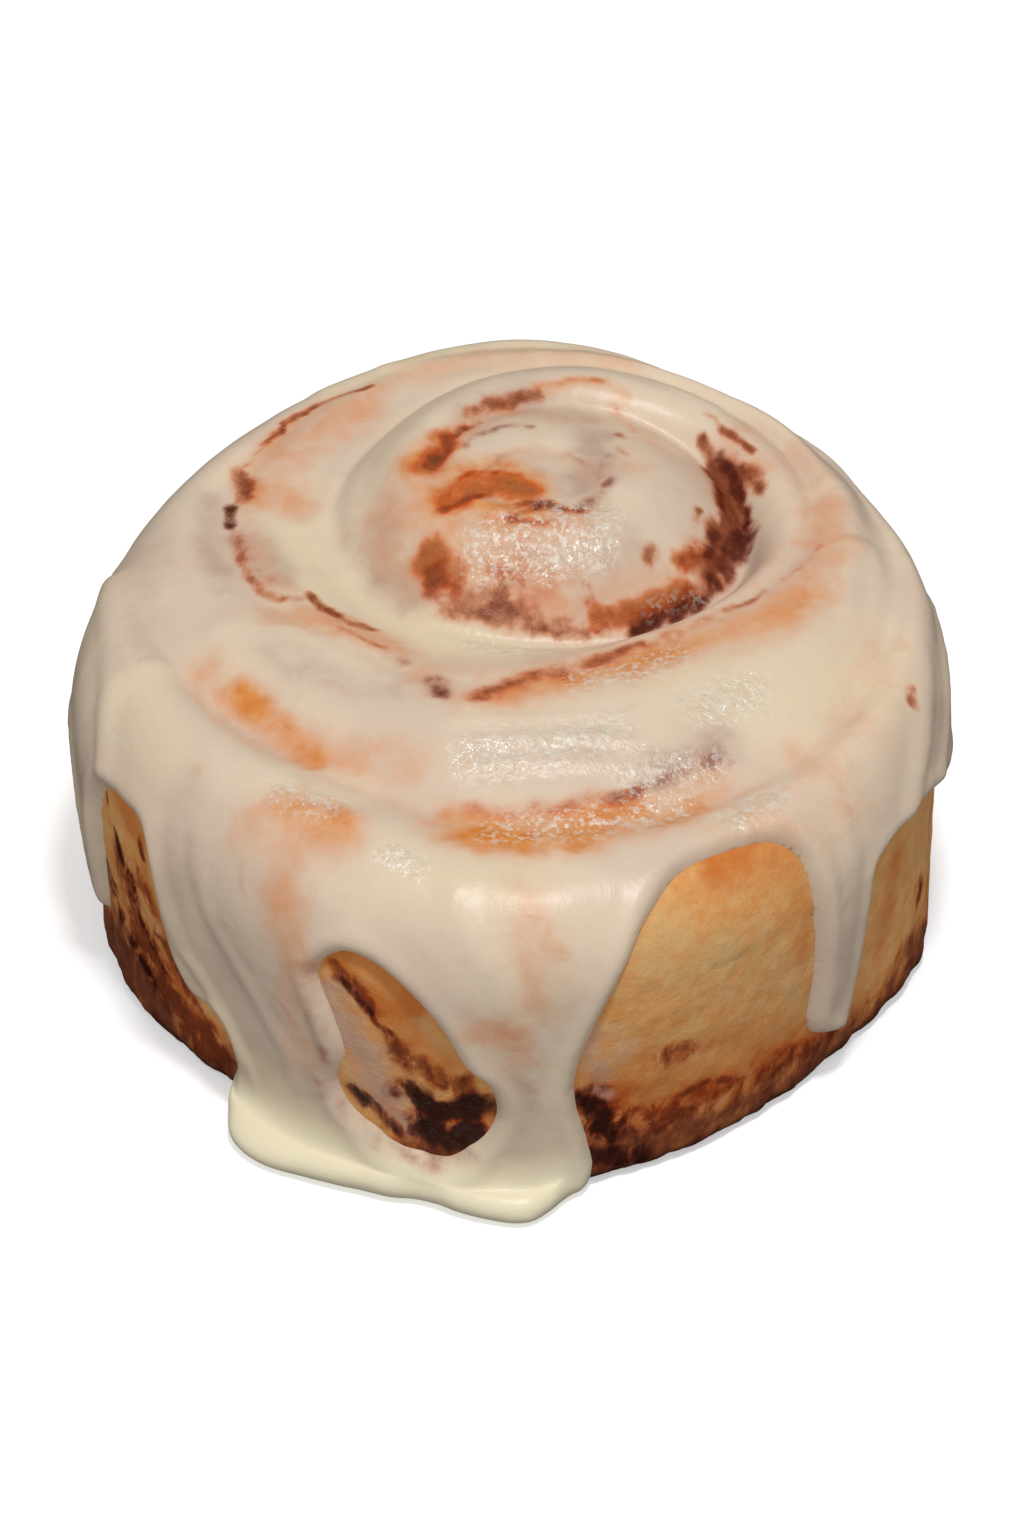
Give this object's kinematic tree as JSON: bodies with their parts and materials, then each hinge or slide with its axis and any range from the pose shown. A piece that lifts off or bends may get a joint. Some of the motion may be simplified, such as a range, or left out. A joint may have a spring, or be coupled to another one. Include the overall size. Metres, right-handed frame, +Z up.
{
  "type": "cinnamon roll",
  "caption": "Round baked swirl of cinnamon dough with poured icing on its crown, drips down the side and a small pool at the foot.",
  "frame": {"origin": "middle of the flat underside that the roll rests on", "axes": "+Z up, -Y towards the front with the icing pool, +X to the right of the front"},
  "size_m": [0.1091, 0.1109, 0.0596],
  "materials": {
    "baked_dough": "baked crust, golden to dark caramel at the foot",
    "icing": "wet sugar glaze, cream coloured"
  },
  "bodies": {
    "root": {"baked_roll": "baked_dough", "icing": "icing"}
  },
  "joints": []
}
